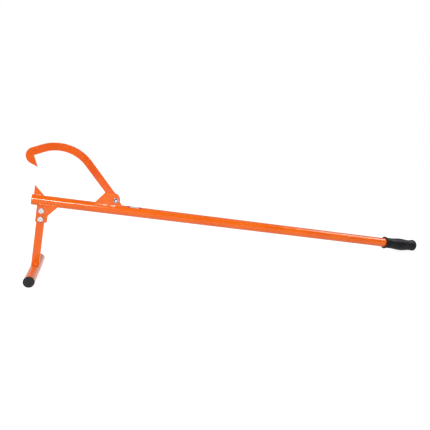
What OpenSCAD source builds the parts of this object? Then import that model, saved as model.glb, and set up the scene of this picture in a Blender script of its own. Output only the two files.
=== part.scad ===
// Cant hook with a bolted-on T-foot log stand, standing on its foot and on the end of its grip.
// Tool frame: X runs along the handle from the open front end to the grip, Z points from the
// handle to the hook, and -Y is the left side of a person who holds the grip.
// Part frame: the foot's axis lies over the origin, and the ground is Z = 0.

/* [Handle] */
// Overall length, from the open front end to the end of the grip
overall_l = 1219; // [900:1:1600]
// Outer diameter of the handle tube
handle_od = 28.6; // [25:0.1:40]
// Wall of the handle tube
handle_wall = 2.5; // [1.5:0.1:4]

/* [Grip] */
// Length of the grip
grip_l = 120; // [95:1:180]
// Diameter of the rim at the grip's mouth
grip_rim_d = 39.4; // [36:0.1:46]
// Width of the rim along the handle
grip_rim_w = 4; // [2:0.5:8]
// Diameter of the neck behind the rim
grip_neck_d = 34; // [32:0.1:42]
// Distance from the mouth to the end of the neck
grip_neck_s = 26; // [10:1:35]
// Diameter of the swelling in the middle
grip_swell_d = 38.6; // [34:0.1:46]
// Diameter of the waist in front of the end bead
grip_waist_d = 33; // [32:0.1:42]
// Distance from the waist to the end of the grip
grip_waist_back = 24; // [20:1:35]
// Diameter of the end bead
grip_bead_d = 36; // [34:0.1:46]
// Length of the domed end behind the bead
grip_dome_l = 11; // [8:1:18]
// Length of the solid end behind the tube
grip_end_l = 44; // [43:0.5:60]
// Angle by which the solid end bends up
grip_bend = 4.2; // [0:0.1:6]

/* [Spike] */
// Distance from the tube's front end to the spike
spike_setback = 4.5; // [0:0.5:15]
// Length of the spike along the tube
spike_l = 26.5; // [15:0.5:40]
// Height of the spike above the tube
spike_h = 25.5; // [15:0.5:35]
// Thickness of the spike
spike_t = 6; // [4:0.5:10]

/* [Hook] */
// Distance from the tube's front end to the hook's pivot
pivot_x = 221; // [200:1:260]
// Width of the hook's bar
hook_w = 21; // [16:0.5:26]
// Thickness of the hook's bar
hook_t = 10; // [6:0.5:12]
// Gap between the hook's eye and the tube below it
hook_eye_gap = 1.2; // [0.5:0.1:4]
// Straight length of the arm, from the pivot to the bend
hook_arm_l = 125.5; // [110:0.5:145]
// Bend radius on the bar's centre line
hook_bend_r = 104; // [85:1:125]
// Angle of the bend
hook_bend_angle = 73; // [65:1:80]
// Straight length from the bend to the claw's corner
hook_nose_l = 28; // [15:1:40]
// Angle of the claw's corner
hook_claw_turn = 87; // [80:1:95]
// Length of the claw's inner edge
hook_claw_l = 31.5; // [27:0.1:36]
// Radius of the round outside the claw's corner, beyond the bar's width
hook_round_extra = 1.9; // [0:0.1:3]
// Distance from the claw's corner back to the start of that round
hook_round_back = 2.2; // [0:0.1:5]
// Angle of the arm above the handle, as it stands in the photograph
hook_lift = 46.9; // [40:0.1:90]

/* [Hook ears] */
// Thickness of each ear
ear_t = 5; // [3:0.5:6]
// Gap between the hook and each ear
ear_gap = 0.4; // [0.2:0.1:1]
// Height of the ears above the pivot
ear_rise = 19; // [15:0.5:30]
// Distance from the pivot to the ears' rear edge
ear_rear = 11; // [9:0.5:20]
// Distance from the pivot forward to the front of the ears' top edge
ear_front_top = 30; // [15:0.5:40]
// Distance from the pivot forward to the front of the ears' foot on the tube
ear_front_foot = 54.5; // [40:0.5:75]
// Radius of the ears' rear top corner
ear_corner_r = 16; // [5:0.5:18]
// Length of the slanted heel behind the ears' rear edge
ear_heel_l = 7.5; // [3:0.5:12]
// Height of the slanted heel above the tube
ear_heel_h = 10.5; // [3:0.5:14]

/* [Hook pivot] */
// Diameter of the pivot bolt
pivot_d = 8; // [6:0.5:10]
// Width across the flats of the bolt's head and nut
pivot_af = 13; // [13:0.5:19]
// Height of the bolt's head
pivot_head_h = 5.3; // [4:0.1:7]
// Height of the pivot nut
pivot_nut_h = 8; // [6:0.5:12]
// Radial play of the hook on the pivot bolt
pivot_play = 0.06; // [0.02:0.01:0.1]

/* [Stand] */
// Distance from the tube's front end to the centre of the leg
stand_x = 28.8; // [26:0.1:60]
// Distance from the handle's axis down to the foot's axis
stand_drop = 190; // [150:1:260]
// Width of the leg's bar
leg_w = 20.5; // [15:0.5:25]
// Thickness of the leg's bar
leg_t = 10; // [8:0.5:12]
// Gap between the top of the leg and the handle tube
leg_top_gap = 2; // [0.5:0.5:3]
// Thickness of each stand plate
plate_t = 5; // [3:0.5:6]
// Distance from the leg's centre to the plates' front edge
plate_front = 13; // [11:0.5:20]
// Distance from the leg's centre to the plates' rear edge
plate_rear = 16.5; // [13:0.5:30]
// Distance from the handle's axis down to the plates' lower edge
plate_drop = 58.5; // [55:0.5:80]
// Length of the gusset along the tube behind the plates' rear edge
plate_gusset_l = 23; // [10:0.5:30]
// Height of the gusset below the tube
plate_gusset_h = 26; // [10:0.5:30]
// Radius of the plates' lower corners
plate_corner_r = 2; // [1:0.5:8]

/* [Stand bolts] */
// Diameter of the stand bolts
bolt_d = 9.5; // [8:0.5:10]
// Distance from the handle's axis down to the upper bolt
bolt_drop = 26.6; // [24:0.1:30]
// Distance between the bolts
bolt_pitch = 22.8; // [20:0.1:25]
// Width across the flats of heads and nuts
bolt_af = 14.3; // [13:0.1:17]
// Height of a bolt's head
bolt_head_h = 6; // [5:0.1:9]
// Height of a nut
bolt_nut_h = 11; // [7:0.5:12]
// Radial play of the bolts in their holes
bolt_play = 0.5; // [0.2:0.05:0.8]
// Length of the thread past each nut
thread_end = 2.5; // [1:0.5:8]

/* [Foot] */
// Length of the foot over its caps
foot_l = 280; // [200:1:400]
// Outer diameter of the foot tube
foot_od = 27.4; // [25:0.1:40]
// Wall of the foot tube
foot_wall = 2.5; // [1.5:0.1:4]
// Diameter of the caps
cap_d = 28; // [27.5:0.1:50]
// Thickness of a cap outside the tube
cap_t = 2; // [1.5:0.5:8]
// Chamfer on a cap's outer edge
cap_chamfer = 0.8; // [0.5:0.1:1.2]
// Length of a cap's plug inside the tube
plug_l = 18; // [10:1:30]
// Wall of a cap's plug
plug_wall = 2; // [1:0.5:4]
// Height of the rings on a cap's plug
plug_ring_h = 0.6; // [0.3:0.1:1.2]

/* [Welds] */
// Radius of the weld beads on ears, plates and leg
weld_r = 3; // [2:0.1:4]
// Radius of the weld beads on the spike
spike_weld_r = 2.2; // [1:0.1:3]

/* [Label] */
// Distance from the tube's front end to the blank label
label_x = 254; // [250:1:400]
// Length of the label
label_l = 42; // [20:1:80]
// Angle that the label wraps over the top of the tube
label_wrap = 76; // [60:1:160]
// Thickness of the label
label_t = 0.2; // [0.1:0.05:0.5]

/* [Hidden] */
$fn = 96;

PAINT = [0.95, 0.42, 0.13];
PAINT_HOOK = [0.90, 0.36, 0.10];
RUBBER = [0.16, 0.16, 0.18];
ZINC = [0.78, 0.80, 0.83];
LABEL = [0.80, 0.16, 0.14];

LEFT = -1;
RIGHT = 1;
// Play between a nut and its thread, and between a sleeve or plug and its tube
thread_play = 0.05;
sleeve_play = 0.05;
// Overshoot of a cutting shape past the face that it cuts
over = 1;
// Shares of a hexagon's width: radius of its turned top, and diameter of a locknut's collar
hex_top_share = 0.47;
collar_d_share = 0.88;
// Share of a locknut's height that is collar, and of a bolt's diameter that is end chamfer
collar_h_share = 0.3;
end_chamfer_share = 0.1;
// Number of rings on a cap's plug
plug_rings = 3;

handle_r = handle_od / 2;
tube_l = overall_l - grip_end_l;
grip_x = overall_l - grip_l;
pivot_z = handle_r + hook_eye_gap + hook_w / 2;
hook_rest = 180 - hook_lift;
ear_inner = hook_t / 2 + ear_gap;
ear_outer = ear_inner + ear_t;
ear_top_z = pivot_z + ear_rise;
plate_outer = leg_t / 2 + plate_t;
bolt_hole_d = bolt_d + 2 * bolt_play;
foot_r = foot_od / 2;
foot_id = foot_od - 2 * foot_wall;
rest_r = max(cap_d, foot_od) / 2;

// Stations along the grip as [distance from the mouth, radius], joined by smooth waves
grip_bead_s = grip_l - grip_dome_l;
grip_waist_s = grip_l - grip_waist_back;
grip_swell_s = (grip_neck_s + grip_waist_s) / 2;
grip_stations = [
    [grip_rim_w, grip_neck_d / 2],
    [grip_neck_s, grip_neck_d / 2],
    [grip_swell_s, grip_swell_d / 2],
    [grip_waist_s, grip_waist_d / 2],
    [grip_bead_s, grip_bead_d / 2]
];
// Points along each wave and along the domed end
wave_steps = 8;
dome_steps = 10;
// Place and radius of the bend, halfway from the swelling to the waist
grip_bend_s = (grip_swell_s + grip_waist_s) / 2;
grip_bend_r = (grip_swell_d + grip_waist_d) / 4;
// Length and inset of the stub by which the bent end sits in the straight body
bend_stub_l = 2;
bend_stub_inset = 0.2;

// Largest turn between two points of a round stretch, in degrees
arc_step = 5;

function wave(a, b, t) = a + (b - a) * (1 - cos(180 * t)) / 2;

function heading(angle) = [cos(angle), sin(angle)];

// Points of a round stretch between two directions from its centre
function arc(centre, r, from, to) =
    let (steps = ceil(abs(to - from) / arc_step))
    [for (k = [0 : steps]) centre + r * heading(from + (to - from) * k / steps)];

// Grip outline from the mouth to the end as [radius, distance from the mouth]
grip_outline = concat(
    [[grip_rim_d / 2, 0], [grip_rim_d / 2, grip_rim_w]],
    [for (i = [0 : len(grip_stations) - 2], k = [0 : wave_steps - 1])
        let (a = grip_stations[i], b = grip_stations[i + 1], t = k / wave_steps)
        [wave(a[1], b[1], t), a[0] + (b[0] - a[0]) * t]],
    [for (k = [0 : dome_steps])
        let (angle = 90 * k / dome_steps)
        [grip_bead_d / 2 * cos(angle), grip_bead_s + grip_dome_l * sin(angle)]]
);

// The straight body's and the bent end's share of the outline
grip_body_outline = [for (p = grip_outline) if (p[1] < grip_bend_s) p];
grip_end_outline = [for (p = grip_outline) if (p[1] > grip_bend_s) p];

// Lowest point under one point of the grip's outline as [distance below the axis, distance from the mouth]
function grip_low(p) =
    let (back = p[1] - grip_bend_s)
    back <= 0 ? p : [
        p[0] * cos(grip_bend) - back * sin(grip_bend),
        grip_bend_s + back * cos(grip_bend) + p[0] * sin(grip_bend)
    ];

// Slope of the ground line under the foot that touches one low point of the grip
function ground_slope(low) =
    let (dx = grip_x + low[1] - stand_x, dz = stand_drop - low[0])
    atan2(dz, dx) + asin(rest_r / norm([dx, dz]));

tilt = min([for (p = grip_outline) ground_slope(grip_low(p))]);

// Sets the tool frame on the ground
module stand_up() {
    translate([0, 0, rest_r])
        rotate([0, tilt, 0])
            translate([-stand_x, 0, stand_drop])
                children();
}

// Keeps what is built on the left, or mirrors it to the right
module on_side(side) {
    mirror([0, side == RIGHT ? 1 : 0, 0])
        children();
}

// Round bar along X from a point on the handle's axis
module bar_x(x, length, d) {
    translate([x, 0, 0])
        rotate([0, 90, 0])
            cylinder(h = length, d = d);
}

// Places what is built along Z so that it runs along Y from the given point
module along_y(x, y, z) {
    translate([x, y, z])
        rotate([-90, 0, 0])
            children();
}

// Outline in X and Z, made a plate from y to y + t
module plate(y, t) {
    translate([0, y + t, 0])
        rotate([90, 0, 0])
            linear_extrude(t)
                children();
}

// Outline in Y and Z, made a bead along X
module bead_x(x, length) {
    translate([x, 0, 0])
        rotate([90, 0, 90])
            linear_extrude(length)
                children();
}

module solid_handle() {
    bar_x(-over, overall_l, handle_od);
}

module solid_foot() {
    along_y(stand_x, -foot_l / 2, -stand_drop)
        cylinder(h = foot_l, d = foot_od);
}

// Hexagon with its top corners turned off
module hex_head(af, h) {
    top_r = af * hex_top_share;
    intersection() {
        cylinder(h = h, d = af / cos(30), $fn = 6);
        cylinder(h = h, r1 = top_r + h / tan(30), r2 = top_r);
    }
}

// Locknut with its round collar away from the seat
module locknut(af, h, d) {
    collar_h = h * collar_h_share;
    collar_d = af * collar_d_share;
    difference() {
        union() {
            hex_head(af, h - collar_h);
            translate([0, 0, h - collar_h])
                cylinder(h = collar_h, d = collar_d);
        }
        translate([0, 0, -over])
            cylinder(h = h + 2 * over, d = d + 2 * thread_play);
    }
}

// Bolt shank with a chamfered end
module shank(length, d) {
    chamfer = d * end_chamfer_share;
    cylinder(h = length - chamfer, d = d);
    translate([0, 0, length - chamfer])
        cylinder(h = chamfer, d1 = d, d2 = d - 2 * chamfer);
}

// Hexagon bolt whose head is below its shank
module hex_bolt(length, d, af, head_h) {
    shank(length, d);
    mirror([0, 0, 1])
        hex_head(af, head_h);
}

module handle_tube() {
    color(PAINT) stand_up()
        difference() {
            bar_x(0, tube_l, handle_od);
            bar_x(-over, tube_l + 2 * over, handle_od - 2 * handle_wall);
        }
}

// Straight body of the grip, from its mouth to the bend
module grip_body() {
    rotate_extrude()
        polygon(concat([[0, 0]], grip_body_outline, [[grip_bend_r, grip_bend_s], [0, grip_bend_s]]));
}

// Closed end of the grip, bent up from a stub in the body
module grip_end() {
    stub_s = grip_bend_s - bend_stub_l;
    stub_r = grip_bend_r - bend_stub_inset;
    translate([0, 0, grip_bend_s]) rotate([0, -grip_bend, 0]) translate([0, 0, -grip_bend_s])
        rotate_extrude()
            polygon(concat([[0, stub_s], [stub_r, stub_s], [stub_r, grip_bend_s]], grip_end_outline));
}

module handle_grip() {
    mouth_r = handle_r + sleeve_play;
    color(RUBBER) stand_up()
        translate([grip_x, 0, 0]) rotate([0, 90, 0])
            difference() {
                union() {
                    grip_body();
                    grip_end();
                }
                translate([0, 0, -over])
                    cylinder(h = grip_l - grip_end_l + over, r = mouth_r);
            }
}

module blank_label() {
    color(LABEL) stand_up()
        translate([label_x, 0, 0]) rotate([0, 90, 0]) rotate([0, 0, 180 - label_wrap / 2])
            rotate_extrude(angle = label_wrap)
                translate([handle_r, 0])
                    square([label_t, label_l]);
}

module spike_outline() {
    top_z = handle_r + spike_h;
    rear_x = spike_setback + spike_l;
    polygon([[spike_setback, 0], [spike_setback, top_z], [rear_x, handle_r], [rear_x, 0]]);
}

module spike() {
    color(PAINT) stand_up()
        difference() {
            plate(-spike_t / 2, spike_t)
                spike_outline();
            solid_handle();
        }
}

// Bead section in the corner between a plate's outer face and a tube of radius r
module bead_outline(face, r, bead_r, up) {
    seat_z = up * sqrt(r * r - face * face);
    difference() {
        translate([-face, seat_z])
            circle(bead_r);
        circle(r);
        translate([-face, -2 * r])
            square([2 * r, 4 * r]);
    }
}

module spike_weld() {
    color(PAINT) stand_up()
        for (side = [LEFT, RIGHT])
            on_side(side)
                bead_x(spike_setback, spike_l)
                    bead_outline(spike_t / 2, handle_r, spike_weld_r, 1);
}

module ear_outline() {
    rear_x = pivot_x + ear_rear;
    r = ear_corner_r;
    difference() {
        polygon(concat(
            [
                [rear_x + ear_heel_l, 0],
                [pivot_x - ear_front_foot, 0],
                [pivot_x - ear_front_foot, handle_r],
                [pivot_x - ear_front_top, ear_top_z]
            ],
            arc([rear_x - r, ear_top_z - r], r, 90, 0),
            [[rear_x, handle_r + ear_heel_h], [rear_x + ear_heel_l, handle_r]]
        ));
        translate([pivot_x, pivot_z])
            circle(d = pivot_d + 2 * thread_play);
    }
}

module hook_ear(side) {
    color(PAINT) stand_up()
        on_side(side)
            difference() {
                plate(-ear_outer, ear_t)
                    ear_outline();
                solid_handle();
            }
}

module hook_ear_left() { hook_ear(LEFT); }
module hook_ear_right() { hook_ear(RIGHT); }

module hook_ear_weld(side) {
    color(PAINT) stand_up()
        on_side(side)
            bead_x(pivot_x - ear_front_foot, ear_front_foot + ear_rear + ear_heel_l)
                bead_outline(ear_outer, handle_r, weld_r, 1);
}

module hook_ear_weld_left() { hook_ear_weld(LEFT); }
module hook_ear_weld_right() { hook_ear_weld(RIGHT); }

// Outline of the hook laid flat: the pivot is at the origin, and the arm leaves along X
module hook_outline() {
    bend_centre = [hook_arm_l, hook_bend_r];
    bend_end = hook_bend_angle - 90;
    corner = bend_centre + (hook_bend_r - hook_w / 2) * heading(bend_end)
        + hook_nose_l * heading(hook_bend_angle);
    tip = corner + hook_claw_l * heading(hook_bend_angle + hook_claw_turn);
    round_r = hook_w + hook_round_extra;
    round_centre = corner - hook_round_back * heading(hook_bend_angle)
        - hook_round_extra * heading(bend_end);
    reach = tip - round_centre;
    touch = atan2(reach[1], reach[0]) - acos(round_r / norm(reach));
    polygon(concat(
        arc([0, 0], hook_w / 2, 90, 270),
        arc(bend_centre, hook_bend_r + hook_w / 2, -90, bend_end),
        arc(round_centre, round_r, bend_end, touch),
        [tip, corner],
        arc(bend_centre, hook_bend_r - hook_w / 2, bend_end, -90)
    ));
}

module hook_arm() {
    color(PAINT_HOOK) stand_up()
        difference() {
            translate([pivot_x, hook_t / 2, pivot_z]) rotate([90, 0, 0]) rotate([0, 0, hook_rest])
                linear_extrude(hook_t)
                    hook_outline();
            along_y(pivot_x, -hook_t / 2 - over, pivot_z)
                cylinder(h = hook_t + 2 * over, d = pivot_d + 2 * pivot_play);
        }
}

module hook_pivot_bolt() {
    color(ZINC) stand_up()
        on_side(RIGHT)
            along_y(pivot_x, -ear_outer, pivot_z)
                hex_bolt(2 * ear_outer + pivot_nut_h + thread_end, pivot_d, pivot_af, pivot_head_h);
}

module hook_pivot_nut() {
    color(ZINC) stand_up()
        on_side(RIGHT)
            along_y(pivot_x, ear_outer, pivot_z)
                locknut(pivot_af, pivot_nut_h, pivot_d);
}

module stand_plate_outline() {
    front_x = stand_x - plate_front;
    rear_x = stand_x + plate_rear;
    low_z = -plate_drop;
    r = plate_corner_r;
    difference() {
        polygon(concat(
            [[front_x, 0]],
            arc([front_x + r, low_z + r], r, 180, 270),
            arc([rear_x - r, low_z + r], r, 270, 360),
            [
                [rear_x, -handle_r - plate_gusset_h],
                [rear_x + plate_gusset_l, -handle_r],
                [rear_x + plate_gusset_l, 0]
            ]
        ));
        for (i = [0, 1])
            translate([stand_x, -bolt_drop - i * bolt_pitch])
                circle(d = bolt_hole_d);
    }
}

module stand_plate(side) {
    color(PAINT) stand_up()
        on_side(side)
            difference() {
                plate(-plate_outer, plate_t)
                    stand_plate_outline();
                solid_handle();
            }
}

module stand_plate_left() { stand_plate(LEFT); }
module stand_plate_right() { stand_plate(RIGHT); }

module stand_plate_weld(side) {
    color(PAINT) stand_up()
        on_side(side)
            bead_x(stand_x - plate_front, plate_front + plate_rear + plate_gusset_l)
                bead_outline(plate_outer, handle_r, weld_r, -1);
}

module stand_plate_weld_left() { stand_plate_weld(LEFT); }
module stand_plate_weld_right() { stand_plate_weld(RIGHT); }

module leg_bar() {
    top_z = -handle_r - leg_top_gap;
    translate([stand_x - leg_w / 2, -leg_t / 2, -stand_drop])
        cube([leg_w, leg_t, top_z + stand_drop]);
}

module stand_leg() {
    color(PAINT) stand_up()
        difference() {
            leg_bar();
            solid_foot();
            for (i = [0, 1])
                along_y(stand_x, -leg_t / 2 - over, -bolt_drop - i * bolt_pitch)
                    cylinder(h = leg_t + 2 * over, d = bolt_hole_d);
        }
}

module stand_bolt(i) {
    color(ZINC) stand_up()
        along_y(stand_x, -plate_outer, -bolt_drop - i * bolt_pitch)
            hex_bolt(2 * plate_outer + bolt_nut_h + thread_end, bolt_d, bolt_af, bolt_head_h);
}

module stand_bolt_upper() { stand_bolt(0); }
module stand_bolt_lower() { stand_bolt(1); }

module stand_nut(i) {
    color(ZINC) stand_up()
        along_y(stand_x, plate_outer, -bolt_drop - i * bolt_pitch)
            locknut(bolt_af, bolt_nut_h, bolt_d);
}

module stand_nut_upper() { stand_nut(0); }
module stand_nut_lower() { stand_nut(1); }

module foot_tube() {
    length = foot_l - 2 * cap_t;
    color(PAINT) stand_up()
        along_y(stand_x, -length / 2, -stand_drop)
            difference() {
                cylinder(h = length, d = foot_od);
                translate([0, 0, -over])
                    cylinder(h = length + 2 * over, d = foot_id);
            }
}

// Quarter-round beads on the foot tube along the leg's left and right faces
module foot_weld() {
    spread = asin(leg_w / foot_od);
    color(PAINT) stand_up()
        for (side = [LEFT, RIGHT])
            on_side(side)
                along_y(stand_x, -leg_t / 2, -stand_drop) rotate([0, 0, -90 - spread])
                    rotate_extrude(angle = 2 * spread)
                        translate([foot_r, 0])
                            intersection() {
                                circle(weld_r);
                                translate([0, -weld_r])
                                    square(weld_r);
                            }
}

module foot_cap(side) {
    ring_pitch = plug_l / (plug_rings + 1);
    plug_d = foot_id - 2 * plug_ring_h;
    ring_d = foot_id - 2 * sleeve_play;
    color(RUBBER) stand_up()
        on_side(side)
            along_y(stand_x, -foot_l / 2, -stand_drop) {
                cylinder(h = cap_chamfer, d1 = cap_d - 2 * cap_chamfer, d2 = cap_d);
                translate([0, 0, cap_chamfer])
                    cylinder(h = cap_t - cap_chamfer, d = cap_d);
                translate([0, 0, cap_t])
                    difference() {
                        union() {
                            cylinder(h = plug_l, d = plug_d);
                            for (k = [1 : plug_rings])
                                translate([0, 0, k * ring_pitch])
                                    cylinder(h = ring_pitch / 2, d1 = ring_d, d2 = plug_d);
                        }
                        cylinder(h = plug_l + over, d = plug_d - 2 * plug_wall);
                    }
            }
}

module foot_cap_left() { foot_cap(LEFT); }
module foot_cap_right() { foot_cap(RIGHT); }

handle_tube();
handle_grip();
blank_label();
spike();
spike_weld();
hook_ear_left();
hook_ear_right();
hook_ear_weld_left();
hook_ear_weld_right();
hook_arm();
hook_pivot_bolt();
hook_pivot_nut();
stand_plate_left();
stand_plate_right();
stand_plate_weld_left();
stand_plate_weld_right();
stand_leg();
stand_bolt_upper();
stand_bolt_lower();
stand_nut_upper();
stand_nut_lower();
foot_tube();
foot_weld();
foot_cap_left();
foot_cap_right();
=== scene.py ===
"""Looks of a steel-tube cant hook that stands on its T-foot and on the end of its grip."""

import math

import bmesh
import bpy
from mathutils import Matrix, Vector, noise


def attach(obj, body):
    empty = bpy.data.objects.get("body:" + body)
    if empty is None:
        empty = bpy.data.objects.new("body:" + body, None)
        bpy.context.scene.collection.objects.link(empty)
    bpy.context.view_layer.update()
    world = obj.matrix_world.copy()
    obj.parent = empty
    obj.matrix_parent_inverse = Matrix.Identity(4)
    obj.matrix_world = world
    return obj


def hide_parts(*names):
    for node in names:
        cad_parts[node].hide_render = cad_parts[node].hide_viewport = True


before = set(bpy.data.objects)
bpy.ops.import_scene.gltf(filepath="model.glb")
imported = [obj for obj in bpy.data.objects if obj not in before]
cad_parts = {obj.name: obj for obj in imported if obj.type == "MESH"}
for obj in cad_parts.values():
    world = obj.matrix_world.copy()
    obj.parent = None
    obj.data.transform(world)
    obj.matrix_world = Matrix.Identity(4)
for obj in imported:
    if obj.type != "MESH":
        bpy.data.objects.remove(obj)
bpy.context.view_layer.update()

# Tool frame, in millimetres: X along the handle from its front end, Z towards the hook, -Y left
MM = 0.001
TILT = math.radians(9.07085)
STAND_X = 28.8
STAND_DROP = 190.0
REST_R = 14.0
TOOL = (
    Matrix.Scale(MM, 4)
    @ Matrix.Translation((0, 0, REST_R))
    @ Matrix.Rotation(TILT, 4, "Y")
    @ Matrix.Translation((-STAND_X, 0, STAND_DROP))
)
LEFT = -1
RIGHT = 1
SIDES = {"left": LEFT, "right": RIGHT}
UP = 1
DOWN = -1

# Handle tube
HANDLE_R = 14.3
BORE_R = 11.8
TUBE_L = 1175.0
LIP_R = 0.6
LIP_BEVEL = 0.3
LIP_WEAR = 0.6
OVERSPRAY_L = 30.0

# Grip; its outlines give distances from its mouth, and radii
GRIP_X = 1099.0
GRIP_L = 120.0
GRIP_RIM = [(0.0, 18.7), (0.3, 19.4), (1.0, 19.7), (2.4, 19.7), (3.4, 19.2), (4.0, 17.5)]
GRIP_WAVES = [(4.0, 17.0), (26.0, 17.0), (61.0, 19.3), (96.0, 16.5), (109.0, 18.0)]
GRIP_DOME_L = 11.0
GRIP_BEAD_R = 18.0
GRIP_BEND = math.radians(4.2)
GRIP_BEND_S = 78.5
GRIP_BEND_EASE = 12.0
GRIP_STEPS = 180
WAVE_STEPS = 12
VENT_R = 1.6
VENT_DEPTH = 1.5
VENT_TAPER = 0.2
PARTING_TURN = 45
PARTING_HALF = 1.5
PARTING_H = 0.18

# Label; the film fills a share of the label's thickness
LABEL_X = 254.0
LABEL_L = 42.0
LABEL_HALF = 38.0
LABEL_T = 0.2
LABEL_FILM = 0.9
LABEL_RED_L = 8.5
LABEL_CORNER_R = 4.0
LABEL_CORNER_STEPS = 6
LABEL_STEPS = 40

# Spike, hook and ears
SPIKE_X = 4.5
SPIKE_L = 26.5
SPIKE_H = 25.5
SPIKE_T = 6.0
PIVOT_X = 221.0
PIVOT_Z = 26.0
HOOK_W = 21.0
HOOK_T = 10.0
HOOK_EDGE = 0.7
HOOK_PLAY = 0.06
HOOK_REST = 180 - 46.9
ARM_L = 125.5
BEND_R = 104.0
BEND_ANGLE = 73.0
BEND_STEP = 1.5
NOSE_L = 28.0
CLAW_TURN = 87.0
CLAW_L = 31.5
ROUND_EXTRA = 1.9
ROUND_BACK = 2.2
EAR_INNER = 5.4
EAR_T = 5.0
EAR_PLAY = 0.05
EAR_REAR = 11.0
EAR_RISE = 19.0
EAR_FRONT_TOP = 30.0
EAR_FRONT_FOOT = 54.5
EAR_CORNER_R = 16.0
EAR_HEEL_L = 7.5
EAR_HEEL_H = 10.5

# Stand and foot; the cap's face is depths and radii, and its rim depths and insets
PLATE_INNER = 5.0
PLATE_T = 5.0
PLATE_EDGE = 0.5
PLATE_FRONT = 13.0
PLATE_REAR = 16.5
PLATE_DROP = 58.5
PLATE_GUSSET_L = 23.0
PLATE_GUSSET_H = 26.0
PLATE_CORNER_R = 2.0
LEG_W = 20.5
LEG_T = 10.0
LEG_EDGE = 0.6
LEG_TOP_GAP = 2.0
FOOT_L = 280.0
FOOT_R = 13.7
FOOT_BORE_R = 11.2
CAP_R = 14.0
CAP_T = 2.0
CAP_FACE = [(0.7, 0.0), (0.7, 1.1), (0.35, 1.3), (0.35, 8.8), (0.0, 9.6)]
CAP_RIM = [(0.0, 1.4), (0.25, 0.4), (0.9, 0.0), (1.7, 0.0), (2.0, 0.3)]
PLUG_L = 18.0
PLUG_PLAY = 0.05
PLUG_CHAMFER = 1.0

# Bolts and nuts
BOLT_D = 9.5
BOLT_AF = 14.3
BOLT_HEAD_H = 6.0
BOLT_NUT_H = 11.0
BOLT_PITCH = 1.5875
BOLT_PLAY = 0.5
BOLT_DROPS = {"upper": 26.6, "lower": 49.4}
PIVOT_D = 8.0
PIVOT_AF = 13.0
PIVOT_HEAD_H = 5.3
PIVOT_NUT_H = 8.0
PIVOT_PITCH = 1.25
HEX_STEPS = 72
HEX_SLOPE = math.tan(math.radians(30))
END_DOME = 0.8
END_STEP = 15
DISH_H = 0.15
COLLAR_WALL = 0.5
COLLAR_ROLL = 0.3
COLLAR_ROLL_H = 0.5
RING_DEPTH = 0.4
RING_MARGIN = 0.2
# Shares of the width across flats: the flat top, the dish in the head and the nut's collar
TOP_SHARE = 0.47
DISH_SHARE = 0.26
COLLAR_SHARE = 0.44
# Share of the nut's height
COLLAR_H_SHARE = 0.3
# Thread past the nut and inside it, its depth in pitches, rows per pitch, and chamfer in diameters
THREAD_END = 2.5
THREAD_START = 2
THREAD_DEPTH = 0.6
THREAD_ROWS = 6
THREAD_CHAMFER = 0.1

# Weld beads; a look is the angle by which a fillet's face looks up, and stitches are starts and ends
WELD_R = 3.0
SPIKE_WELD_R = 2.2
WELD_PITCH = 2.4
BEAD_ROWS = 8
BEAD_SPOKES = 12
BEAD_SINK = 10.0
FILLET_RISE = 3.0
FILLET_DOME = 0.08
EAR_FILLET_LOOK = 14.6
SPIKE_FILLET_LOOK = 19.0
FOOT_FILLET_LOOK = 22.8
EAR_STITCHES = ((19.5, 35.5), (43.0, 59.0))
SPIKE_STITCHES = ((4.0, 20.0),)
FOOT_STITCHES = ((4.0, 16.0),)
STITCH_RISE = 4.0
STITCH_FADE = 6.0
EAR_SEED = 10
PLATE_SEED = 20
FOOT_SEED = 30
# Shares of the bead's full size; a stitch's growth is a share per millimetre
BEAD_FULL = 0.92
BEAD_FLAT = 0.3
THIN_BEAD = 0.3
STITCH_BASE = 0.6
STITCH_GROWTH = 0.05
SCALE_H = 0.06
WOBBLE_H = 0.08
# Least square of the taper at a bead's ends, share of the scales left on a stitch, and wear of a scale
BEAD_TIP = 0.02
STITCH_ROUGH = 0.10
SCALE_WEAR = 0.5
# Bow of a scale in pitches, and rate of the wobble per millimetre
SCALE_BOW = 0.7
WOBBLE_RATE = 0.21

# Depth to which a welded edge sinks into the tube that carries it
SEAT = 1.0
# Largest angle between two faces that shade as one surface
SMOOTH = math.radians(38)
SMOOTH_HEX = math.radians(20)
# Steps of rounds, and the part of a rounded edge at its two borders that isn't worn
ROUND_STEPS = 128
ARC_STEP = 4.0
HOLE_STEPS = 40
EDGE_STEPS = 2
EDGE_BORDER = 0.05
# Distance within which two points of a plate are one
SAME_SPOT = 0.001


# Points and outlines

def heading(degrees):
    angle = math.radians(degrees)
    return Vector((math.cos(angle), math.sin(angle)))


def arc(centre, r, start, end, step=ARC_STEP):
    """Points of a round stretch between two directions from its centre."""
    count = max(2, math.ceil(abs(end - start) / step))
    turns = [start + (end - start) * k / count for k in range(count + 1)]
    return [Vector(centre) + r * heading(turn) for turn in turns]


def circle(centre, r):
    return arc(centre, r, 0, 360, 360 / HOLE_STEPS)[:-1]


def wave(a, b, t):
    """Height of a smooth rise from a to b at a share of its length."""
    return a + (b - a) * (1 - math.cos(math.pi * t)) / 2


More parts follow.
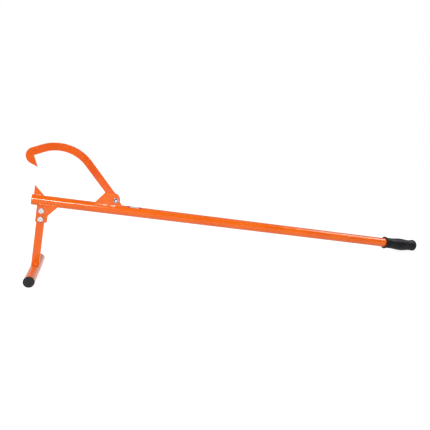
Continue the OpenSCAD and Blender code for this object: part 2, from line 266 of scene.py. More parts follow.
def hook_outline():
    """Hook drawn with the pivot at the origin and the arm along the first axis, then turned to rest."""
    bend_centre = Vector((ARM_L, BEND_R))
    bend_end = BEND_ANGLE - 90
    corner = bend_centre + (BEND_R - HOOK_W / 2) * heading(bend_end) + NOSE_L * heading(BEND_ANGLE)
    tip = corner + CLAW_L * heading(BEND_ANGLE + CLAW_TURN)
    round_r = HOOK_W + ROUND_EXTRA
    round_centre = corner - ROUND_BACK * heading(BEND_ANGLE) - ROUND_EXTRA * heading(bend_end)
    reach = tip - round_centre
    touch = math.degrees(math.atan2(reach.y, reach.x) - math.acos(round_r / reach.length))
    points = arc((0, 0), HOOK_W / 2, 90, 270)
    points += arc(bend_centre, BEND_R + HOOK_W / 2, -90, bend_end, BEND_STEP)
    points += arc(round_centre, round_r, bend_end, touch)
    points += [tip, corner]
    points += arc(bend_centre, BEND_R - HOOK_W / 2, bend_end, -90, BEND_STEP)
    turn = Matrix.Rotation(math.radians(HOOK_REST), 2)
    return [turn @ p + Vector((PIVOT_X, PIVOT_Z)) for p in points]


def ear_outline():
    front = PIVOT_X - EAR_FRONT_FOOT
    rear = PIVOT_X + EAR_REAR
    top = PIVOT_Z + EAR_RISE
    r = EAR_CORNER_R
    foot = [(rear + EAR_HEEL_L, 0), (front, 0), (front, HANDLE_R)]
    shoulder = [(PIVOT_X - EAR_FRONT_TOP, top)] + arc((rear - r, top - r), r, 90, 0)
    heel = [(rear, HANDLE_R + EAR_HEEL_H), (rear + EAR_HEEL_L, HANDLE_R)]
    return foot + shoulder + heel


def stand_plate_outline():
    front = STAND_X - PLATE_FRONT
    rear = STAND_X + PLATE_REAR
    r = PLATE_CORNER_R
    low = -PLATE_DROP + r
    points = [(front, 0)] + arc((front + r, low), r, 180, 270) + arc((rear - r, low), r, 270, 360)
    gusset = [(rear, -HANDLE_R - PLATE_GUSSET_H), (rear + PLATE_GUSSET_L, -HANDLE_R)]
    return points + gusset + [(rear + PLATE_GUSSET_L, 0)]


def leg_outline():
    """The leg's lower end follows the foot tube, a little below its surface."""
    half = LEG_W / 2
    seat_r = FOOT_R - SEAT
    spread = math.degrees(math.asin(half / seat_r))
    top = -HANDLE_R - LEG_TOP_GAP
    points = arc((STAND_X, -STAND_DROP), seat_r, 90 - spread, 90 + spread)
    return points + [(STAND_X - half, top), (STAND_X + half, top)]


def spike_outline():
    rear = SPIKE_X + SPIKE_L
    return [(SPIKE_X, 0), (SPIKE_X, HANDLE_R + SPIKE_H), (rear, HANDLE_R), (rear, 0)]


def pivot_hole(play):
    return circle((PIVOT_X, PIVOT_Z), PIVOT_D / 2 + play)


def bolt_holes():
    return [circle((STAND_X, -drop), BOLT_D / 2 + BOLT_PLAY) for drop in BOLT_DROPS.values()]


# Meshes, built in the tool frame

def new_shape():
    shape = bmesh.new()
    shape.verts.layers.float.new("wear")
    return shape


def wear_layer(shape):
    return shape.verts.layers.float["wear"]


def filled_curve(loops, t, edge):
    """Mesh of a flat plate around Z = 0, with rounded edges, from an outside loop and its holes."""
    curve = bpy.data.curves.new("outline", "CURVE")
    curve.dimensions = "2D"
    curve.fill_mode = "BOTH"
    curve.extrude = t / 2 - edge
    curve.bevel_depth = edge
    curve.bevel_resolution = EDGE_STEPS
    curve.offset = -edge
    for loop in loops:
        spline = curve.splines.new("POLY")
        spline.points.add(len(loop) - 1)
        spline.use_cyclic_u = True
        for point, (u, v) in zip(spline.points, loop):
            point.co = (u, v, 0, 1)
    holder = bpy.data.objects.new("outline", curve)
    bpy.context.scene.collection.objects.link(holder)
    depsgraph = bpy.context.evaluated_depsgraph_get()
    mesh = bpy.data.meshes.new_from_object(holder.evaluated_get(depsgraph))
    bpy.data.objects.remove(holder)
    bpy.data.curves.remove(curve)
    return mesh


def plate(loops, y, t, edge=PLATE_EDGE):
    """Plate from outlines in X and Z, between y and y + t; its rounded edges are marked as worn."""
    mesh = filled_curve(loops, t, edge)
    shape = new_shape()
    shape.from_mesh(mesh)
    bpy.data.meshes.remove(mesh)
    bmesh.ops.remove_doubles(shape, verts=shape.verts, dist=SAME_SPOT)
    wear = wear_layer(shape)
    for v in shape.verts:
        depth = (t / 2 - abs(v.co.z)) / edge
        v[wear] = 1.0 if EDGE_BORDER < depth < 1 - EDGE_BORDER else 0.0
    upright = Matrix.Translation((0, y + t / 2, 0)) @ Matrix.Rotation(math.radians(90), 4, "X")
    shape.transform(upright)
    bmesh.ops.recalc_face_normals(shape, faces=shape.faces)
    return shape


def seat_on_handle(shape, up):
    """Bends the edge of a plate that lies inside the handle tube to the tube's round."""
    for v in shape.verts:
        if up * v.co.z < HANDLE_R / 2:
            v.co.z = up * math.sqrt((HANDLE_R - SEAT) ** 2 - v.co.y ** 2)


def lathe(profile, place, steps=ROUND_STEPS, ridge=None, closed=False):
    """Turns a profile of (distance, radius, wear) about Z; ridge(turn) adds to the radius."""
    shape = new_shape()
    wear = wear_layer(shape)
    rings = []
    for s, r, worn in profile:
        count = steps if r > 0 else 1
        ring = []
        for k in range(count):
            turn = 360 * k / steps
            radius = r + (ridge(turn) if ridge and r > 0 else 0)
            u, v = radius * heading(turn)
            vertex = shape.verts.new((u, v, s))
            vertex[wear] = worn
            ring.append(vertex)
        rings.append(ring)
    if closed:
        rings.append(rings[0])
    for a, b in zip(rings, rings[1:]):
        join_rings(shape, a, b)
    shape.transform(place)
    bmesh.ops.recalc_face_normals(shape, faces=shape.faces)
    return shape


def join_rings(shape, a, b):
    """Faces between two closed rings of points; a ring of one point is a pole."""
    count = max(len(a), len(b))
    for k in range(count):
        corners = [a[k % len(a)], a[(k + 1) % len(a)], b[(k + 1) % len(b)], b[k % len(b)]]
        shape.faces.new(list(dict.fromkeys(corners)))


def skin(shape, rings):
    """Faces through a stack of rings of points, and over both its ends."""
    for a, b in zip(rings, rings[1:]):
        join_rings(shape, a, b)
    shape.faces.new(rings[0])
    shape.faces.new(rings[-1])
    bmesh.ops.recalc_face_normals(shape, faces=shape.faces)


def along_x(x):
    return Matrix.Translation((x, 0, 0)) @ Matrix.Rotation(math.radians(90), 4, "Y")


def along_y(x, y, z):
    return Matrix.Translation((x, y, z)) @ Matrix.Rotation(math.radians(-90), 4, "X")


def mirrored(shape, side):
    """What is built on the left, kept or moved to the right."""
    if side == RIGHT:
        shape.transform(Matrix.Diagonal((1, -1, 1, 1)))
        bmesh.ops.reverse_faces(shape, faces=shape.faces)
    return shape


def merge(*shapes):
    """One shape from several."""
    whole = new_shape()
    for shape in shapes:
        mesh = bpy.data.meshes.new("part")
        shape.to_mesh(mesh)
        shape.free()
        whole.from_mesh(mesh)
        bpy.data.meshes.remove(mesh)
    return whole


# Bolts and nuts, as stacks of rings of (turn, radius, height)

HEX_TURNS = [360 * k / HEX_STEPS for k in range(HEX_STEPS)]


def hex_radius(turn, af):
    return af / 2 / math.cos(math.radians((turn + 30) % 60 - 30))


def hex_rings(af, h):
    """Rings of a hexagon whose top corners are turned off."""
    top_r = TOP_SHARE * af
    rim = [(turn, hex_radius(turn, af)) for turn in HEX_TURNS]
    bottom = [(turn, r, 0.0) for turn, r in rim]
    shoulder = [(turn, r, h - (r - top_r) * HEX_SLOPE) for turn, r in rim]
    return [bottom, shoulder, round_ring(top_r, h)]


def round_ring(r, height):
    return [(turn, r, height) for turn in HEX_TURNS]


def ring_stack(rings):
    """Surface through rings, closed at both ends."""
    shape = new_shape()
    made = []
    for ring in rings:
        spots = [(*(r * heading(turn)), height) for turn, r, height in ring]
        made.append([shape.verts.new(spot) for spot in spots])
    skin(shape, made)
    return shape


def thread_ring(height, left, d, pitch):
    """Ring of a thread at a height, where some length of thread is left above it."""
    depth = THREAD_DEPTH * pitch
    chamfer = max(0.0, THREAD_CHAMFER * d - left)
    ring = []
    for k, turn in enumerate(HEX_TURNS):
        phase = (height / pitch - k / HEX_STEPS) % 1
        r = d / 2 - depth * abs(2 * phase - 1)
        ring.append((turn, min(r, d / 2 - chamfer), height))
    return ring


def thread(start, length, d, pitch):
    """Threaded rod along Z with a chamfered and slightly domed end."""
    rows = math.ceil(length / pitch * THREAD_ROWS)
    tip = start + length
    heights = [start + length * i / rows for i in range(rows + 1)]
    rings = [thread_ring(height, tip - height, d, pitch) for height in heights]
    end_r = d / 2 - THREAD_CHAMFER * d
    for angle in range(END_STEP, 90, END_STEP):
        u, v = heading(angle)
        rings.append(round_ring(end_r * u, tip + END_DOME * v))
    return ring_stack(rings)


# Weld beads

def round_section(r, across, angle):
    """Radius of a round bead, flattened in the middle; it is the same at every angle."""
    return r * (BEAD_FULL - BEAD_FLAT * (1 - across * across))


def fillet_section(look):
    """Section of a fillet whose face looks up by an angle, and is slightly domed."""

    def section(r, across, angle):
        flat = FILLET_RISE * heading(look)[1] / heading(angle + look)[1]
        return flat * (1 + FILLET_DOME * (1 - across * across))

    return section


def round_end(left, reach):
    """Height of a rounded end: from 0 where nothing is left to 1 at its reach."""
    short = 1 - min(1.0, left / reach)
    return math.sqrt(1 - short * short)


def fullness(s, stitches):
    """Share of a bead's full size at s: thin between the stitches, growing along each of them."""
    for start, end in stitches:
        if start <= s <= end:
            grown = STITCH_BASE + STITCH_GROWTH * (s - start) - THIN_BEAD
            ends = round_end(s - start, STITCH_RISE) * round_end(end - s, STITCH_FADE)
            return THIN_BEAD + grown * ends
    return THIN_BEAD if stitches else 1.0


def weld_scale(s, across, seed):
    """Ridge of a weld scale from 0 to 1, and the height of the uneven surface that it gives."""
    ridge = math.sin(math.pi * ((s / WELD_PITCH - SCALE_BOW * (1 - across * across)) % 1))
    wobble = noise.noise(Vector((s * WOBBLE_RATE, across, seed)))
    return ridge, SCALE_H * ridge + WOBBLE_H * wobble


def weld_bead(point, length, r, sweep, seed, section=round_section, stitches=()):
    """Row of weld scales, smooth along the stitches; point(s, angle, radius) is a spot of its surface."""
    shape = new_shape()
    wear = wear_layer(shape)
    rows = math.ceil(length / WELD_PITCH * BEAD_ROWS)
    rings = []
    for i in range(rows + 1):
        s = length * i / rows
        inset = min(s, length - s, r) / r
        taper = math.sqrt(max(BEAD_TIP, 1 - (1 - inset) ** 2))
        full = fullness(s, stitches)
        rough = STITCH_ROUGH if full > THIN_BEAD and stitches else 1.0
        ring = [shape.verts.new(point(s, 0.0, 0.0))]
        for k in range(BEAD_SPOKES + 1):
            across = 2 * k / BEAD_SPOKES - 1
            angle = sweep * k / BEAD_SPOKES
            ridge, uneven = weld_scale(s, across, seed)
            radius = full * (section(r, across, angle) + r * rough * uneven)
            vertex = shape.verts.new(point(s, angle, taper * radius))
            vertex[wear] = SCALE_WEAR * rough * ridge
            ring.append(vertex)
        rings.append(ring)
    skin(shape, rings)
    return shape


def handle_bead(x, length, face, r, up, seed, section=round_section, stitches=()):
    """Weld bead on the left, in the corner between a plate's outer face and the handle tube."""
    seat_z = up * math.sqrt(HANDLE_R ** 2 - face ** 2)
    tangent = 90 + math.degrees(math.asin(face / HANDLE_R))

    def point(s, angle, radius):
        out, rise = radius * heading(90 - angle)
        return (x + s, -face - out, seat_z + up * rise)

    return weld_bead(point, length, r, tangent + BEAD_SINK, seed, section, stitches)


def foot_bead(seed):
    """Weld bead on the foot tube along the leg's left face."""
    spread = math.degrees(math.asin(LEG_W / 2 / FOOT_R))
    length = 2 * math.radians(spread) * FOOT_R

    def point(s, angle, radius):
        u, v = heading(90 + spread - math.degrees(s / FOOT_R))
        out, rise = radius * heading(90 - angle)
        around = FOOT_R + rise
        return (STAND_X + around * u, -LEG_T / 2 - out, -STAND_DROP + around * v)

    section = fillet_section(FOOT_FILLET_LOOK)
    return weld_bead(point, length, WELD_R, 90 + BEAD_SINK, seed, section, FOOT_STITCHES)


# Shader nodes

# Where a Mix node has its first value, its second value and its result
MIX_SOCKETS = {"FLOAT": (2, 3, 0), "RGBA": (6, 7, 2)}
RANGE_SOCKETS = ("From Min", "From Max", "To Min", "To Max")


def fill(tree, socket, value):
    """Feeds a socket with the output of a node, a colour or a number."""
    if isinstance(value, bpy.types.NodeSocket):
        tree.links.new(value, socket)
    elif isinstance(value, tuple):
        socket.default_value = (*value, 1)
    else:
        socket.default_value = value


def map_range(tree, source, start, end, low=0.0, high=1.0):
    """The part of a value between start and end, spread from low to high."""
    made = tree.nodes.new("ShaderNodeMapRange")
    tree.links.new(source, made.inputs["Value"])
    for name, value in zip(RANGE_SOCKETS, (start, end, low, high)):
        made.inputs[name].default_value = value
    return made.outputs[0]


def mix(tree, kind, share, a, b):
    """What lies between a and b, which are of that kind or the outputs of nodes."""
    made = tree.nodes.new("ShaderNodeMix")
    made.data_type = kind
    first, second, result = MIX_SOCKETS[kind]
    tree.links.new(share, made.inputs[0])
    fill(tree, made.inputs[first], a)
    fill(tree, made.inputs[second], b)
    return made.outputs[result]


def combine(tree, operation, a, b, clamp=False):
    """Sum or product of the outputs of two nodes."""
    made = tree.nodes.new("ShaderNodeMath")
    made.operation = operation
    made.use_clamp = clamp
    tree.links.new(a, made.inputs[0])
    tree.links.new(b, made.inputs[1])
    return made.outputs[0]


# Materials

# Levels of a noise between which colour and roughness change
CLOUD_LEVELS = (0.35, 0.65)
ROUGH_LEVELS = (0.3, 0.7)


class Finish:
    """A material with a Principled shader, and short names for the nodes that feed it."""

    def __init__(self, name, **constants):
        self.material = bpy.data.materials.new(name)
        self.material.use_nodes = True
        self.tree = self.material.node_tree
        self.shader = self.tree.nodes["Principled BSDF"]
        self.spot = self.tree.nodes.new("ShaderNodeTexCoord").outputs["Object"]
        for socket, value in constants.items():
            self.shader.inputs[socket.replace("_", " ")].default_value = value

    def grain(self, scale, detail):
        """Noise between 0 and 1, with features of about 1 / scale metres."""
        made = self.tree.nodes.new("ShaderNodeTexNoise")
        made.inputs["Scale"].default_value = scale
        made.inputs["Detail"].default_value = detail
        self.tree.links.new(self.spot, made.inputs["Vector"])
        return made.outputs[0]

    def clouds(self, scale, detail, levels=CLOUD_LEVELS):
        """Patches of noise that go from 0 to 1 between two of its levels."""
        return map_range(self.tree, self.grain(scale, detail), *levels)

    def wear(self):
        """How worn the surface is, from 0 to 1, as its mesh says."""
        made = self.tree.nodes.new("ShaderNodeAttribute")
        made.attribute_name = "wear"
        return made.outputs["Fac"]

    def feed(self, socket, source):
        self.tree.links.new(source, self.shader.inputs[socket])

    def colour(self, share, a, b):
        """Colour between a and b, which are colours or the outputs of nodes."""
        self.feed("Base Color", mix(self.tree, "RGBA", share, a, b))

    def roughness(self, grain, low, high):
        self.feed("Roughness", map_range(self.tree, grain, *ROUGH_LEVELS, low, high))

    def bump(self, grain, strength, depth):
        made = self.tree.nodes.new("ShaderNodeBump")
        made.inputs["Strength"].default_value = strength
        made.inputs["Distance"].default_value = depth
        self.tree.links.new(grain, made.inputs["Height"])
        self.feed("Normal", made.outputs[0])


def paint(name, deep, light, thin, rough=(0.13, 0.19)):
    """Gloss powder coat: orange peel, uneven depth of colour, and thin paint along the edges."""
    finish = Finish(name, Specular_IOR_Level=0.50)
    coat = mix(finish.tree, "RGBA", finish.clouds(scale=11, detail=4), deep, light)
    scuffs = finish.clouds(scale=170, detail=6, levels=(0.4, 0.62))
    finish.colour(combine(finish.tree, "MULTIPLY", finish.wear(), scuffs), coat, thin)
    finish.roughness(finish.grain(scale=70, detail=5), *rough)
    finish.bump(finish.grain(scale=520, detail=2), strength=0.009, depth=0.0003)
    return finish.material


def zinc():
    """Bright zinc plate with a fine cloudy grain."""
    finish = Finish("zinc_plate", Metallic=1.0)
    finish.colour(finish.clouds(scale=420, detail=5), (0.69, 0.70, 0.72), (0.88, 0.88, 0.89))
    finish.roughness(finish.grain(scale=900, detail=3), low=0.24, high=0.38)
    finish.bump(finish.grain(scale=1500, detail=2), strength=0.10, depth=0.0001)
    return finish.material


def rubber():
    """Satin grip rubber with a fine moulded grain and a little dust."""
    finish = Finish("grip_rubber", Specular_IOR_Level=0.22)
    dust = finish.clouds(scale=35, detail=6, levels=(0.45, 0.75))
    finish.colour(dust, (0.007, 0.007, 0.010), (0.014, 0.014, 0.019))
    finish.roughness(finish.grain(scale=60, detail=4), low=0.40, high=0.56)
    finish.bump(finish.grain(scale=1400, detail=2), strength=0.25, depth=0.0002)
    return finish.material


def cap_plastic():
    """Moulded black plastic with a light grain."""
    finish = Finish("cap_plastic", Specular_IOR_Level=0.35)
    cloud = finish.clouds(scale=90, detail=5, levels=(0.4, 0.7))
    finish.colour(cloud, (0.014, 0.014, 0.017), (0.026, 0.026, 0.030))
    finish.roughness(finish.grain(scale=140, detail=4), low=0.38, high=0.54)
    finish.bump(finish.grain(scale=900, detail=3), strength=0.2, depth=0.0002)
    return finish.material


def film(name, dark, light):
    """Gloss label film, a little uneven."""
    finish = Finish(name, Coat_Weight=0.2)
    finish.colour(finish.clouds(scale=140, detail=4), dark, light)
    finish.roughness(finish.grain(scale=200, detail=3), low=0.28, high=0.40)
    finish.bump(finish.grain(scale=300, detail=2), strength=0.1, depth=0.0002)
    return finish.material


def raw_steel():
    """Scaled bare steel inside the tube."""
    finish = Finish("raw_steel", Metallic=0.6)
    finish.colour(finish.clouds(scale=160, detail=6), (0.06, 0.05, 0.045), (0.16, 0.15, 0.14))
    finish.roughness(finish.grain(scale=220, detail=4), low=0.5, high=0.75)
    finish.bump(finish.grain(scale=600, detail=4), strength=0.3, depth=0.0003)
    return finish.material


def nylon():
    """Blue-grey nylon of the locknuts' rings, darkened further as painted shade of the recess and thread
    around it.
    """
    finish = Finish("nylon", Subsurface_Weight=0.1)
    # The dark blue-grey is the nylon's own colour together with painted shade of the recessed ring
    finish.colour(finish.clouds(scale=500, detail=4), (0.035, 0.050, 0.085), (0.060, 0.075, 0.110))
    finish.roughness(finish.grain(scale=700, detail=3), low=0.35, high=0.5)
    finish.bump(finish.grain(scale=900, detail=2), strength=0.1, depth=0.0001)
    return finish.material


DEEP_ORANGE = (0.86, 0.125, 0.002)
LIGHT_ORANGE = (0.93, 0.155, 0.004)
THIN_ORANGE = (0.98, 0.30, 0.07)
PAINT = paint("orange_paint", DEEP_ORANGE, LIGHT_ORANGE, THIN_ORANGE)
WELD_PAINT = paint("weld_paint", DEEP_ORANGE, LIGHT_ORANGE, THIN_ORANGE, rough=(0.20, 0.28))
HOOK_PAINT = paint("hook_paint", (0.80, 0.10, 0.007), (0.87, 0.125, 0.010), (0.95, 0.25, 0.05))
ZINC = zinc()
RUBBER = rubber()
CAP_PLASTIC = cap_plastic()
LABEL_RED = film("label_red", (0.55, 0.02, 0.012), (0.66, 0.03, 0.018))
LABEL_WHITE = film("label_white", (0.56, 0.46, 0.47), (0.66, 0.58, 0.60))
RAW_STEEL = raw_steel()
NYLON_WITH_PAINTED_SHADE = nylon()


# Pieces

def piece(shape, node, slot, *materials, body="frame", smooth=SMOOTH):
    """Puts a shape into the part's frame as the piece that stands for a node of the solids."""
    name = node + "_look"
    mesh = bpy.data.meshes.new(name)
    shape.to_mesh(mesh)
    shape.free()
    mesh.transform(TOOL)
    for material in materials:
        mesh.materials.append(material)
    mesh.polygons.foreach_set("use_smooth", [True] * len(mesh.polygons))
    mesh.set_sharp_from_angle(angle=smooth)
    made = bpy.data.objects.new(name, mesh)
    bpy.context.scene.collection.objects.link(made)
    flat = made.modifiers.new("flat_faces", "WEIGHTED_NORMAL")
    flat.keep_sharp = True
    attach(made, body)
    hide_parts(node)
    return made


def paint_second(shape, chosen):
    """Gives the faces that chosen(middle) picks the second material."""
    for face in shape.faces:
        if chosen(face.calc_center_median()):
            face.material_index = 1


def handle_tube():
    r = LIP_R
    bevel = LIP_BEVEL * r
    inside = [(TUBE_L, BORE_R, 0.0), (OVERSPRAY_L, BORE_R, 0.0), (r, BORE_R, 0.0)]
    lip = [(0, BORE_R + r, 1.0), (0, HANDLE_R - r, LIP_WEAR)]
    lip += [(bevel, HANDLE_R - bevel, 1.0), (r, HANDLE_R, 0.0)]
    shape = lathe(inside + lip + [(TUBE_L, HANDLE_R, 0.0)], along_x(0), closed=True)
    paint_second(shape, lambda p: math.hypot(p.y, p.z) < HANDLE_R - r and p.x > OVERSPRAY_L)
    piece(shape, "handle_tube", "orange_paint", PAINT, RAW_STEEL)


def grip_profile():
    """Outline of the grip from the end of its socket to its own end."""
    socket_l = TUBE_L - GRIP_X
    socket = [(socket_l, 0.0), (socket_l, HANDLE_R), (0.0, HANDLE_R)]
    body = []
    for (s0, r0), (s1, r1) in zip(GRIP_WAVES, GRIP_WAVES[1:]):
        for k in range(WAVE_STEPS):
            body.append((s0 + (s1 - s0) * k / WAVE_STEPS, wave(r0, r1, k / WAVE_STEPS)))
    dome = []
    for k in range(WAVE_STEPS):
        u, v = heading(90 * k / WAVE_STEPS)
        dome.append((GRIP_L - GRIP_DOME_L + GRIP_DOME_L * v, GRIP_BEAD_R * u))
    vent_s = GRIP_L - VENT_DEPTH
    vent = [(GRIP_L, VENT_R), (vent_s, VENT_R - VENT_TAPER), (vent_s, 0.0)]
    return [(s, r, 0.0) for s, r in socket + GRIP_RIM + body[1:] + dome + vent]


def parting_line(turn):
    """Fine ridge that the mould leaves along both sides of the grip."""
    off = (turn + PARTING_TURN) % 180 - 90
    return PARTING_H if abs(off) < PARTING_HALF else 0.0


def bend_up(shape):
    """Bends the grip's end up behind the tube, with an eased start."""
    for v in shape.verts:
        past = v.co.x - GRIP_X - GRIP_BEND_S
        share = min(1.0, max(0.0, 0.5 + past / 2 / GRIP_BEND_EASE))
        rise = GRIP_BEND_EASE * share * share if share < 1 else past
        angle = GRIP_BEND * share
        lift = math.tan(GRIP_BEND) * rise
        v.co.x -= v.co.z * math.sin(angle)
        v.co.z = lift + v.co.z * math.cos(angle)


def handle_grip():
    shape = lathe(grip_profile(), along_x(GRIP_X), GRIP_STEPS, parting_line)
    bend_up(shape)
    piece(shape, "handle_grip", "grip_rubber", RUBBER)


def label_half_width(x):
    """Half of the label's angle at a distance from its front end, with rounded corners."""
    inset = max(0.0, LABEL_CORNER_R - min(x, LABEL_L - x))
    cut = LABEL_CORNER_R - math.sqrt(LABEL_CORNER_R ** 2 - inset ** 2)
    return LABEL_HALF - math.degrees(cut / HANDLE_R)


def label_stops():
    """Distances along the label, closer together at its rounded corners."""
    turns = [math.pi / 2 * k / LABEL_CORNER_STEPS for k in range(LABEL_CORNER_STEPS + 1)]
    ease = [LABEL_CORNER_R * (1 - math.cos(turn)) for turn in turns]
    middle = [LABEL_RED_L, LABEL_L / 2, LABEL_L - LABEL_RED_L]
    return ease + middle + [LABEL_L - x for x in reversed(ease)]


def blank_label():
    """Film on top of the tube, red at both ends and pale between them."""
    shape = new_shape()
    r = HANDLE_R + LABEL_T
    rows = []
    for x in label_stops():
        half = label_half_width(x)
        row = []
        for k in range(LABEL_STEPS + 1):
            u, v = heading(90 - half + 2 * half * k / LABEL_STEPS)
            row.append(shape.verts.new((LABEL_X + x, r * u, r * v)))
        rows.append(row)
    for a, b in zip(rows, rows[1:]):
        for k in range(LABEL_STEPS):
            shape.faces.new((a[k], b[k], b[k + 1], a[k + 1]))
    pale_start = LABEL_X + LABEL_RED_L
    pale_end = LABEL_X + LABEL_L - LABEL_RED_L
    paint_second(shape, lambda p: pale_start < p.x < pale_end)
    made = piece(shape, "blank_label", "label_film", LABEL_RED, LABEL_WHITE)
    thick = made.modifiers.new("film", "SOLIDIFY")
    thick.thickness = LABEL_FILM * LABEL_T * MM


def spike():
    shape = plate([spike_outline()], -SPIKE_T / 2, SPIKE_T)
    seat_on_handle(shape, UP)
    piece(shape, "spike", "orange_paint", PAINT)
    beads = []
    look = fillet_section(SPIKE_FILLET_LOOK)
    for seed, side in enumerate(SIDES.values()):
        bead = handle_bead(SPIKE_X, SPIKE_L, SPIKE_T / 2, SPIKE_WELD_R, UP, seed, look, SPIKE_STITCHES)
        beads.append(mirrored(bead, side))
    piece(merge(*beads), "spike_weld", "orange_paint", WELD_PAINT)


def hook_ears():
    start = PIVOT_X - EAR_FRONT_FOOT
    length = EAR_FRONT_FOOT + EAR_REAR + EAR_HEEL_L
    outer = EAR_INNER + EAR_T
    look = fillet_section(EAR_FILLET_LOOK)
    for seed, (word, side) in enumerate(SIDES.items(), EAR_SEED):
        shape = plate([ear_outline(), pivot_hole(EAR_PLAY)], -outer, EAR_T)
        seat_on_handle(shape, UP)
        piece(mirrored(shape, side), "hook_ear_" + word, "orange_paint", PAINT)
        bead = handle_bead(start, length, outer, WELD_R, UP, seed, look, EAR_STITCHES)
        piece(mirrored(bead, side), "hook_ear_weld_" + word, "orange_paint", WELD_PAINT)


def hook_arm():
    shape = plate([hook_outline(), pivot_hole(HOOK_PLAY)], -HOOK_T / 2, HOOK_T, HOOK_EDGE)
    piece(shape, "hook_arm", "hook_paint", HOOK_PAINT, body="hook")


def locknut(af, h):
    """Nut with a rolled collar, and the nylon ring inside it as the second material, whose dark colour
    holds painted shade.
    """
    base = h - COLLAR_H_SHARE * h
    collar_r = COLLAR_SHARE * af
    ring_r = collar_r - COLLAR_WALL
    collar = [round_ring(collar_r, base), round_ring(collar_r, h - COLLAR_ROLL_H)]
    collar += [round_ring(collar_r - COLLAR_ROLL, h), round_ring(ring_r, h - RING_DEPTH)]
    shape = ring_stack(hex_rings(af, base) + collar)
    paint_second(shape, lambda p: p.z > base and math.hypot(p.x, p.y) < ring_r - RING_MARGIN)
    return shape


def hex_bolt(af, head_h, d, reach, pitch):
    """Bolt whose head is below Z = 0, with a dished head and a thread past its nut."""
    dish_r = DISH_SHARE * af
    dish = [round_ring(dish_r, head_h), round_ring(dish_r / 2, head_h - DISH_H)]
    head = ring_stack(hex_rings(af, head_h) + dish)
    head.transform(Matrix.Rotation(math.pi, 4, "X"))
    rod = ring_stack([round_ring(d / 2, 0), round_ring(d / 2, reach)])
    end = thread(reach - THREAD_START, THREAD_END + THREAD_START - END_DOME, d, pitch)
    return merge(head, rod, end)


def pivot():
    """The bolt's head is on the right, and its nut on the left."""
    outer = EAR_INNER + EAR_T
    bolt = hex_bolt(PIVOT_AF, PIVOT_HEAD_H, PIVOT_D, 2 * outer + PIVOT_NUT_H, PIVOT_PITCH)
    bolt.transform(along_y(PIVOT_X, -outer, PIVOT_Z))
    piece(mirrored(bolt, RIGHT), "hook_pivot_bolt", "zinc", ZINC, smooth=SMOOTH_HEX)
    nut = locknut(PIVOT_AF, PIVOT_NUT_H)
    nut.transform(along_y(PIVOT_X, outer, PIVOT_Z))
    piece(mirrored(nut, RIGHT), "hook_pivot_nut", "zinc", ZINC, NYLON_WITH_PAINTED_SHADE, smooth=SMOOTH_HEX)


def stand_plates():
    start = STAND_X - PLATE_FRONT
    length = PLATE_FRONT + PLATE_REAR + PLATE_GUSSET_L
    outer = PLATE_INNER + PLATE_T
    for seed, (word, side) in enumerate(SIDES.items(), PLATE_SEED):
        shape = plate([stand_plate_outline()] + bolt_holes(), -outer, PLATE_T)
        seat_on_handle(shape, DOWN)
        piece(mirrored(shape, side), "stand_plate_" + word, "orange_paint", PAINT)
        bead = handle_bead(start, length, outer, WELD_R, DOWN, seed)
        piece(mirrored(bead, side), "stand_plate_weld_" + word, "orange_paint", WELD_PAINT)


def stand_bolts():
    """The bolts' heads are on the left, and their nuts on the right."""
    outer = PLATE_INNER + PLATE_T
    for word, drop in BOLT_DROPS.items():
        bolt = hex_bolt(BOLT_AF, BOLT_HEAD_H, BOLT_D, 2 * outer + BOLT_NUT_H, BOLT_PITCH)
        bolt.transform(along_y(STAND_X, -outer, -drop))
        piece(bolt, "stand_bolt_" + word, "zinc", ZINC, smooth=SMOOTH_HEX)
        nut = locknut(BOLT_AF, BOLT_NUT_H)
        nut.transform(along_y(STAND_X, outer, -drop))
        piece(nut, "stand_nut_" + word, "zinc", ZINC, NYLON_WITH_PAINTED_SHADE, smooth=SMOOTH_HEX)


def stand_leg():
    shape = plate([leg_outline()] + bolt_holes(), -LEG_T / 2, LEG_T, LEG_EDGE)
    piece(shape, "stand_leg", "orange_paint", PAINT)


def cap_profile():
    """Cap with a moulding mark, a shallow dished face, a rounded rim and a plug."""
    rim = [(s, CAP_R - inset) for s, inset in CAP_RIM]
    plug_r = FOOT_BORE_R - PLUG_PLAY
    end = CAP_T + PLUG_L
    plug = [(CAP_T, plug_r), (end - PLUG_CHAMFER, plug_r), (end, plug_r - PLUG_CHAMFER), (end, 0.0)]
    return [(s, r, 0.0) for s, r in CAP_FACE + rim + plug]


def foot():
    length = FOOT_L - 2 * CAP_T
    r = LIP_R
    front = [(0, FOOT_R - r, 1.0), (r, FOOT_R, 0.0)]
    rear = [(length - r, FOOT_R, 0.0), (length, FOOT_R - r, 1.0)]
    inside = [(length, FOOT_BORE_R, 0.0), (0, FOOT_BORE_R, 0.0)]
    shape = lathe(front + rear + inside, along_y(STAND_X, -length / 2, -STAND_DROP), closed=True)
    piece(shape, "foot_tube", "orange_paint", PAINT)
    beads = [mirrored(foot_bead(FOOT_SEED + side), side) for side in SIDES.values()]
    piece(merge(*beads), "foot_weld", "orange_paint", WELD_PAINT)
    for word, side in SIDES.items():
        cap = lathe(cap_profile(), along_y(STAND_X, -FOOT_L / 2, -STAND_DROP))
        piece(mirrored(cap, side), "foot_cap_" + word, "cap_plastic", CAP_PLASTIC)


handle_tube()
handle_grip()
blank_label()
spike()
hook_ears()
hook_arm()
pivot()
stand_plates()
stand_bolts()
stand_leg()
foot()


# Stage, light and camera

FLOOR_R = 4.0
FLOOR_X = 0.6
FLOOR_DROP = 0.0003
FLOOR_STEPS = 96
FLOOR_FADE = (0.9, 2.2)
FLOOR_GLOW = (0.86, 1.0)
FLOOR_SHADE = (0.8, 0.3)
# Strength of the world as light, and in reflections of the room and of the pale background
FILL = 0.30
ROOM = 0.1
PALE = 0.54
ROOM_FADE = (-0.2, 0.5)
CAMERA_SPOT = (0.15685, -1.37836, 0.33873)
CAMERA_DOWN = 7.755
CAMERA_RIGHT = 14.441
CAMERA_ROLL = -0.118
SENSOR = 36.0
FOCAL_PX = 483.138
IMAGE_PX = 430


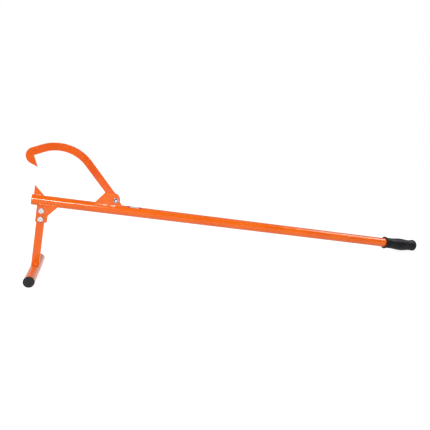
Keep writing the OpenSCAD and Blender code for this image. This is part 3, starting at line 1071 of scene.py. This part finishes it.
def seen_ray(tree):
    """1 for camera and transmission rays, and PALE for reflections, which all show the background."""
    path = tree.nodes.new("ShaderNodeLightPath")
    total = map_range(tree, path.outputs["Is Glossy Ray"], 0, 1, 0, PALE)
    for name in ("Is Camera Ray", "Is Transmission Ray"):
        total = combine(tree, "ADD", total, path.outputs[name], clamp=True)
    return total


def studio_world():
    """White to the camera; reflections show a pale backdrop and a dim room in front of it."""
    world = bpy.data.worlds.new("studio")
    bpy.context.scene.world = world
    world.use_nodes = True
    tree = world.node_tree
    background = tree.nodes["Background"]
    background.inputs["Color"].default_value = (1, 1, 1, 1)
    around = tree.nodes.new("ShaderNodeSeparateXYZ")
    tree.links.new(tree.nodes.new("ShaderNodeTexCoord").outputs["Generated"], around.inputs[0])
    mirrored_room = map_range(tree, around.outputs["Y"], *ROOM_FADE, ROOM, PALE)
    path = tree.nodes.new("ShaderNodeLightPath")
    lit = mix(tree, "FLOAT", path.outputs["Is Glossy Ray"], FILL, mirrored_room)
    lit = mix(tree, "FLOAT", path.outputs["Is Transmission Ray"], lit, 1.0)
    lit = mix(tree, "FLOAT", path.outputs["Is Camera Ray"], lit, 1.0)
    tree.links.new(lit, background.inputs["Strength"])


def floor_material():
    """Pale floor that keeps the shadow near the object and fades to white further out."""
    material = bpy.data.materials.new("floor")
    material.use_nodes = True
    tree = material.node_tree
    tree.nodes.clear()
    seen = seen_ray(tree)
    reach = tree.nodes.new("ShaderNodeVectorMath")
    reach.operation = "DISTANCE"
    reach.inputs[1].default_value = (FLOOR_X, 0, 0)
    tree.links.new(tree.nodes.new("ShaderNodeNewGeometry").outputs["Position"], reach.inputs[0])
    glow = map_range(tree, reach.outputs["Value"], *FLOOR_FADE, *FLOOR_GLOW)
    emission = tree.nodes.new("ShaderNodeEmission")
    tree.links.new(combine(tree, "MULTIPLY", glow, seen), emission.inputs["Strength"])
    diffuse = tree.nodes.new("ShaderNodeBsdfDiffuse")
    tree.links.new(map_range(tree, seen, 0, 1, *FLOOR_SHADE), diffuse.inputs["Color"])
    both = tree.nodes.new("ShaderNodeAddShader")
    tree.links.new(diffuse.outputs[0], both.inputs[0])
    tree.links.new(emission.outputs[0], both.inputs[1])
    output = tree.nodes.new("ShaderNodeOutputMaterial")
    tree.links.new(both.outputs[0], output.inputs["Surface"])
    return material


def floor():
    shape = bmesh.new()
    bmesh.ops.create_circle(shape, cap_ends=True, radius=FLOOR_R, segments=FLOOR_STEPS)
    mesh = bpy.data.meshes.new("floor")
    shape.to_mesh(mesh)
    shape.free()
    mesh.materials.append(floor_material())
    made = bpy.data.objects.new("floor", mesh)
    made.location = (FLOOR_X, 0, -FLOOR_DROP)
    bpy.context.scene.collection.objects.link(made)


def area_light(name, form, size, power, spot, target):
    """Lamp of a width and height in metres and a power in watts, at a spot and turned to its target."""
    light = bpy.data.lights.new(name, "AREA")
    light.shape = form
    light.size, light.size_y = size
    light.energy = power
    made = bpy.data.objects.new(name, light)
    made.location = spot
    made.rotation_euler = (Vector(target) - Vector(spot)).to_track_quat("-Z", "Y").to_euler()
    bpy.context.scene.collection.objects.link(made)
    return made


def lights():
    """Front lamp for light and glints, top lamp for reflections alone, and two for light alone."""
    area_light("front_box", "ELLIPSE", (1.0, 0.36), 33, (0.0, -2.2, 1.18), target=(1.0, 0, 0.1))
    top = area_light("top_box", "RECTANGLE", (1.1, 0.9), 22, (2.35, -0.25, 1.6), target=(1.7, 0, 0.1))
    top.visible_diffuse = False
    soft = area_light("soft_box", "RECTANGLE", (1.1, 0.9), 11, (1.1, -0.25, 1.9), target=(0.7, 0, 0.1))
    soft.visible_glossy = False
    back = area_light("back_box", "RECTANGLE", (1.4, 0.8), 34, (-1.1, 2.0, 1.2), target=(0.3, 0, 0.15))
    back.visible_glossy = False


def camera():
    lens = bpy.data.cameras.new("camera")
    lens.sensor_width = SENSOR
    lens.lens = SENSOR * FOCAL_PX / IMAGE_PX
    made = bpy.data.objects.new("camera", lens)
    turn = Matrix.Translation(CAMERA_SPOT)
    for degrees, axis in ((-CAMERA_RIGHT, "Z"), (90 - CAMERA_DOWN, "X"), (CAMERA_ROLL, "Z")):
        turn @= Matrix.Rotation(math.radians(degrees), 4, axis)
    made.matrix_world = turn
    bpy.context.scene.collection.objects.link(made)
    bpy.context.scene.camera = made


studio_world()
floor()
lights()
camera()
bpy.context.scene.view_settings.view_transform = "Standard"
